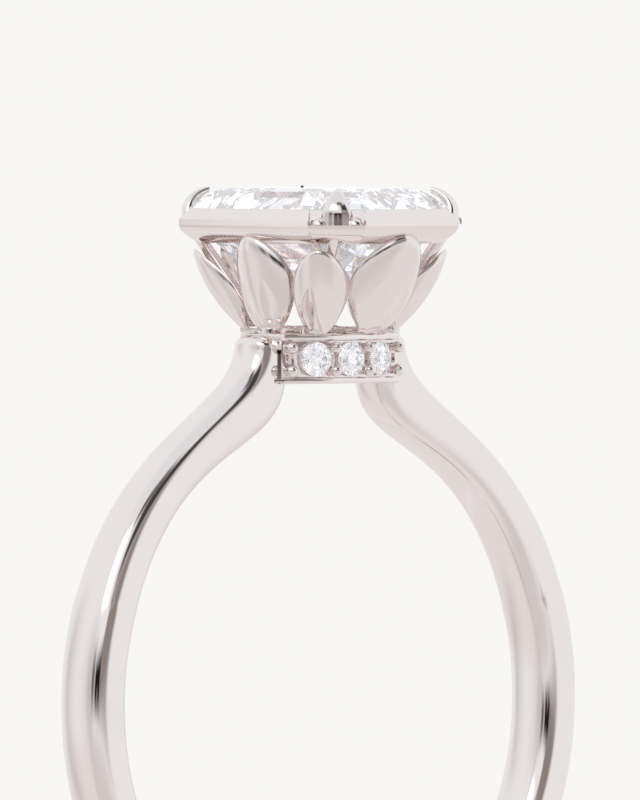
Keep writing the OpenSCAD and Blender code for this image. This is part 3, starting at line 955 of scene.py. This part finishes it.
def petal_blade(base, tip, face, half, bulge, power, tip_t, roll):
    """A leaf from base to tip whose edges roll back."""
    out = Vector((math.cos(face), math.sin(face), 0))
    across = Vector((-math.sin(face), math.cos(face), 0))
    rise = tip.z - base.z
    lean = Vector((tip.x - base.x, tip.y - base.y, 0))
    rings = []
    for i in range(PETAL_UP + 1):
        t = BLADE_LOW + BLADE_SPAN * math.sin(math.pi / 2 * i / PETAL_UP) ** 1.15
        reach, growth = petal_reach(t, power, LEAN_STRAIGHT)
        middle = base + lean * reach + UP * rise * t
        run = lean.length * growth
        normal = (out * rise - UP * run).normalized()
        width = petal_width(t)
        thick = mix(PETAL_T, tip_t, t)
        roll_here = mix(FOOT_ROLL, roll, min(1.0, 1.6 * t) ** 1.5)
        front, back = [], []
        for k in range(PETAL_ACROSS + 1):
            s = math.sin(math.pi / 2 * mix(-1, 1, k / PETAL_ACROSS))
            q = max(0.0, 1 - (1 - edge_share(s, t)) * half / roll_here)
            drop = ROLL_DROP * thick * (1 - math.sqrt(1 - q * q))
            skin = middle + across * s * half * width - out * bulge * (s * width) ** 2
            front.append(skin - normal * (drop + flute(s, t)))
            back.append(skin - normal * thick * (1 - BACK_THIN * q ** 4))
        rings.append(front + back[-2:0:-1])
    return solid("petal", *loft(rings))


def foot_profile():
    """A peg in the plate with a rounded foot on it."""
    foot_r = peg_r + FOOT_OVER
    shape = [(peg_low, peg_r), (plate_top, peg_r), (plate_top, foot_r)]
    for turn in spread(0, math.pi / 2, 6):
        height = plate_top + FOOT_H - FOOT_SOFT * (1 - math.sin(turn))
        shape.append((height, foot_r - FOOT_SOFT * (1 - math.cos(turn))))
    return shape


def right_petal():
    """The wide petal over the right arm, on a round foot."""
    half = PETAL_SIDE_W / 2
    base = Vector((collar_l / 2 - SIDE_BASE_IN, 0, plate_top))
    tip = Vector((bezel_x - SIDE_TIP_IN, 0, wide_tip_z))
    petal = petal_blade(base, tip, 0, half, SIDE_BULGE * half, SIDE_POWER, SIDE_TIP_T, SIDE_ROLL)
    foot = turned("foot", Vector((collar_l / 2 - RAIL_W / 2, 0, 0)), UP, foot_profile())
    combine(petal, foot, "UNION")
    return petal


def back_petal():
    """The wide petal at the back, on a foot that reaches out from the plate."""
    half = PETAL_END_W / 2
    base = Vector((0, collar_w / 2 + END_BASE_OUT, plate_top))
    tip = Vector((0, bezel_y - FIT, wide_tip_z))
    petal = petal_blade(base, tip, math.pi / 2, half, SIDE_BULGE * half, END_POWER, SIDE_TIP_T, SIDE_ROLL)
    peg_y = collar_w / 2 - RAIL_W / 2
    foot_r = peg_r + FOOT_OVER
    arm = block((-foot_r, peg_y - END_ARM_IN, plate_top), (foot_r, base.y + END_ARM_OUT, plate_top + FOOT_H))
    combine(petal, bevelled(arm, END_ARM_SOFT), "UNION")
    peg = turned("peg", Vector((0, peg_y, 0)), UP, [(peg_low, peg_r), (plate_top + FOOT_H / 2, peg_r)])
    combine(petal, peg, "UNION")
    return petal


def corner_foot(base):
    """An eyelet round a claw's post, with an arm to the base of the corner petal."""
    eye = Vector((post_foot.x, post_foot.y, plate_top))
    eye_r = POST_D / 2 + EYELET_WALL
    top = [(FOOT_H - EYELET_SOFT, eye_r), (FOOT_H, eye_r - EYELET_SOFT)]
    eyelet = turned("eyelet", eye, UP, [(0, eye_r)] + top)
    lead = base - eye
    half_w = POST_D / 2 + FOOT_OVER
    arm = block((0, -half_w, 0), (lead.length + FOOT_OVER, half_w, FOOT_H))
    arm.data.transform(Matrix.Translation(eye) @ Matrix.Rotation(math.atan2(lead.y, lead.x), 4, "Z"))
    combine(eyelet, bevelled(arm, EYELET_ARM_SOFT), "UNION")
    combine(eyelet, post_solid(FIT), "DIFFERENCE")
    return eyelet


def corner_petal():
    """The narrow petal at the back right corner, on its eyelet."""
    half = PETAL_CORNER_W / 2
    base = Vector((collar_l / 2, collar_w / 2, plate_top)) + CORNER_BASE
    tip = Vector((bezel_x, bezel_y, bezel_z - PETAL_DROP)) + CORNER_TIP
    face = math.radians(CORNER_FACE)
    petal = petal_blade(base, tip, face, half, CORNER_BULGE * half, CORNER_POWER, CORNER_TIP_T, CORNER_ROLL)
    combine(petal, corner_foot(base), "UNION")
    return petal


def make_petals():
    """Two petals over the arms, two at the front and back, and four at the corners."""
    right = right_petal()
    back = back_petal()
    corner = corner_petal()
    for x, end in ((-1, "left"), (1, "right")):
        place(mirrored(right, x, 1), f"petal_{end}", soft_gold)
        for y, side in ((-1, "front"), (1, "back")):
            place(mirrored(corner, x, y), f"petal_{side}_{end}", soft_gold)
    for y, side in ((-1, "front"), (1, "back")):
        place(mirrored(back, 1, y), f"petal_{side}", soft_gold)
    discard(right, back, corner)


# ---------- Assembly ----------

def keep_cad(node, surface):
    """A hidden CAD node keeps its shape and gets a finished material."""
    kept = frame["nodes"][node]
    kept.data.materials.clear()
    kept.data.materials.append(surface)


make_shank()
make_rail("lower_rail", collar_z, rail_top)
make_rail("gallery_plate", plate_z, plate_top)
make_wall()
make_accents()
make_bead_prongs()
make_centre_stone()
make_bezel()
make_claws()
make_petals()
for hidden in ("bearing_ring", "arm_dowels"):
    keep_cad(hidden, gold)


# ---------- Floor, light and camera ----------

CAMERA_AZIMUTH = -42.0
CAMERA_ELEVATION = 1.05
CAMERA_LENS = 1250.0
SENSOR = 36.0
PICTURE_HEIGHT = 23.74
PICTURE_MIDDLE = 8.903
CLIP_NEAR, CLIP_FAR = 0.01, 10.0
FLOOR_R = 150.0
FLOOR_SIDES = 180
FLOOR_GRAIN = 4.0
FLOOR_DARK, FLOOR_LIGHT = (0.93, 0.925, 0.915), (0.94, 0.935, 0.925)


def direction(azimuth, elevation):
    """Unit vector towards a point round the object: azimuth 0 is -Y, and 90 is +X."""
    a, e = math.radians(azimuth), math.radians(elevation)
    return Vector((math.sin(a) * math.cos(e), -math.cos(a) * math.cos(e), math.sin(e)))


def make_camera():
    """A long lens from the photograph's side, almost level."""
    data = bpy.data.cameras.new("camera")
    data.lens = CAMERA_LENS
    data.sensor_width = SENSOR
    camera = bpy.data.objects.new("camera", data)
    back = direction(CAMERA_AZIMUTH, CAMERA_ELEVATION)
    distance = PICTURE_HEIGHT * CAMERA_LENS / SENSOR * MM
    camera.location = Vector((0, 0, PICTURE_MIDDLE * MM)) + back * distance
    camera.rotation_mode = "QUATERNION"
    camera.rotation_quaternion = (-back).to_track_quat("-Z", "Y")
    data.clip_start = CLIP_NEAR
    data.clip_end = CLIP_FAR
    bpy.context.scene.collection.objects.link(camera)
    bpy.context.scene.camera = camera


def make_floor():
    """A round pale floor that the metal and the stones don't mirror."""
    turns = [2 * math.pi * k / FLOOR_SIDES for k in range(FLOOR_SIDES)]
    ring = [Vector((FLOOR_R * math.cos(a), FLOOR_R * math.sin(a), shank_low.z)) for a in turns]
    mesh = bpy.data.meshes.new("floor")
    mesh.from_pydata([tuple(p * MM) for p in ring], [], [tuple(range(FLOOR_SIDES))])
    floor = bpy.data.objects.new("floor", mesh)
    bpy.context.scene.collection.objects.link(floor)
    made, tree, shader, coordinates = material("floor_paper")
    grain = noise(tree, coordinates, FLOOR_GRAIN)
    colour = ramp(tree, grain, [(NOISE_LOW, FLOOR_DARK), (NOISE_HIGH, FLOOR_LIGHT)])
    tree.links.new(colour, shader.inputs["Base Color"])
    shader.inputs["Roughness"].default_value = 0.9
    shader.inputs["Specular IOR Level"].default_value = 0.1
    floor.data.materials.append(made)
    floor.visible_glossy = False
    floor.visible_transmission = False


BACKDROP = (0.939, 0.930, 0.913)
STUDIO = (0.95, 0.97, 1.0)
SPARKLE = [(0.38, (0.60, 0.61, 0.65)), (0.46, (0.90, 0.91, 0.94)), (0.54, (1.12, 1.12, 1.14)),
           (0.62, (0.84, 0.85, 0.88))]
SPARKLE_SCALE = 2.2
# Each card: azimuth, elevation, half width, half height, softness (degrees), and its light.
# A later card lies over the earlier ones.
CARDS = [
    # The ceiling, and the ground all round
    (0, 90, 180, 34, 10, (0.86, 0.89, 0.95)),
    (0, -90, 180, 78, 8, (0.88, 0.86, 0.87)),
    # Greyer ground at the front left, and a grey wall at the left
    (-45, -30, 66, 20, 14, (0.75, 0.73, 0.73)),
    (-100, 4, 22, 13, 16, (0.62, 0.60, 0.60)),
    # The lamp, high at the front left
    (-66, 39, 22, 11, 4, (1.9, 1.9, 1.9)),
    # Dark cards in front, one over the other
    (0, 9, 26, 12, 6, (0.30, 0.27, 0.26)),
    (0, 36, 24, 14, 7, (0.07, 0.06, 0.06)),
    (-28, 54, 22, 7, 6, (0.15, 0.13, 0.13)),
    # Dark card left of the camera, black card behind it, and a small warm light in that
    (-74, 6, 10, 8, 7, (0.17, 0.15, 0.15)),
    (-42, 4, 18, 7, 5, (0.012, 0.010, 0.010)),
    (-42, 1, 1.8, 1.8, 1.2, (0.48, 0.33, 0.29)),
    # A narrow grey strip at the back left
    (-148, -5, 1.4, 24, 12, (0.55, 0.52, 0.51)),
]


def socket(sockets, identifier):
    """The socket with that identifier: a mix node has several sockets of one name."""
    return next(s for s in sockets if s.identifier == identifier)


def math_node(tree, operation, *values):
    """A maths step on sockets or plain numbers."""
    node = tree.nodes.new("ShaderNodeMath")
    node.operation = operation
    for entry, value in zip(node.inputs, values):
        if isinstance(value, (int, float)):
            entry.default_value = value
        else:
            tree.links.new(value, entry)
    return node.outputs["Value"]


def falloff(tree, distance, half, soft):
    """1 well inside half, 0 beyond half + soft, smooth between."""
    node = tree.nodes.new("ShaderNodeMapRange")
    node.interpolation_type = "SMOOTHSTEP"
    node.inputs["From Min"].default_value = half + soft
    node.inputs["From Max"].default_value = half - soft
    tree.links.new(distance, node.inputs["Value"])
    return node.outputs["Result"]


def blended(tree, share, low, high):
    """A mix of two colours, each a socket or plain numbers."""
    node = tree.nodes.new("ShaderNodeMix")
    node.data_type = "RGBA"
    tree.links.new(share, socket(node.inputs, "Factor_Float"))
    for identifier, colour in (("A_Color", low), ("B_Color", high)):
        entry = socket(node.inputs, identifier)
        if isinstance(colour, tuple):
            entry.default_value = (*colour, 1)
        else:
            tree.links.new(colour, entry)
    return socket(node.outputs, "Result_Color")


def card_light(tree, way):
    """The studio's light from each direction: an even white with the cards over it."""
    parts = tree.nodes.new("ShaderNodeSeparateXYZ")
    tree.links.new(way, parts.inputs["Vector"])
    minus_y = math_node(tree, "MULTIPLY", parts.outputs["Y"], -1)
    round_z = math_node(tree, "ARCTAN2", parts.outputs["X"], minus_y)
    azimuth = math_node(tree, "MULTIPLY", round_z, 180 / math.pi)
    above_floor = math_node(tree, "ARCSINE", parts.outputs["Z"])
    elevation = math_node(tree, "MULTIPLY", above_floor, 180 / math.pi)
    colour = STUDIO
    for card_azimuth, card_elevation, half_w, half_h, soft, light in CARDS:
        turn = math_node(tree, "SUBTRACT", azimuth, card_azimuth)
        aside = math_node(tree, "ABSOLUTE", math_node(tree, "WRAP", turn, 180.0, -180.0))
        above = math_node(tree, "ABSOLUTE", math_node(tree, "SUBTRACT", elevation, card_elevation))
        across = falloff(tree, aside, half_w, soft)
        upward = falloff(tree, above, half_h, soft)
        colour = blended(tree, math_node(tree, "MULTIPLY", across, upward), colour, light)
    return colour


def make_world():
    """The studio. The camera sees a plain backdrop, and rays that pass through a stone see patches."""
    world = bpy.data.worlds.new("studio")
    world.use_nodes = True
    bpy.context.scene.world = world
    tree = world.node_tree
    nodes, links = tree.nodes, tree.links
    nodes.clear()
    way = nodes.new("ShaderNodeTexCoord").outputs["Generated"]
    patches = nodes.new("ShaderNodeTexNoise")
    patches.inputs["Scale"].default_value = SPARKLE_SCALE
    links.new(way, patches.inputs["Vector"])
    glints = ramp(tree, patches.outputs["Fac"], SPARKLE)
    path = nodes.new("ShaderNodeLightPath")
    light = blended(tree, path.outputs["Is Transmission Ray"], card_light(tree, way), glints)
    studio = nodes.new("ShaderNodeBackground")
    links.new(light, studio.inputs["Color"])
    backdrop = nodes.new("ShaderNodeBackground")
    backdrop.inputs["Color"].default_value = (*BACKDROP, 1)
    choose = nodes.new("ShaderNodeMixShader")
    links.new(path.outputs["Is Camera Ray"], choose.inputs["Fac"])
    links.new(studio.outputs["Background"], choose.inputs[1])
    links.new(backdrop.outputs["Background"], choose.inputs[2])
    output = nodes.new("ShaderNodeOutputWorld")
    links.new(choose.outputs["Shader"], output.inputs["Surface"])


make_camera()
make_floor()
make_world()
scene = bpy.context.scene
scene.view_settings.view_transform = "Standard"
scene.cycles.max_bounces = 24
scene.cycles.glossy_bounces = 12
scene.cycles.transmission_bounces = 20
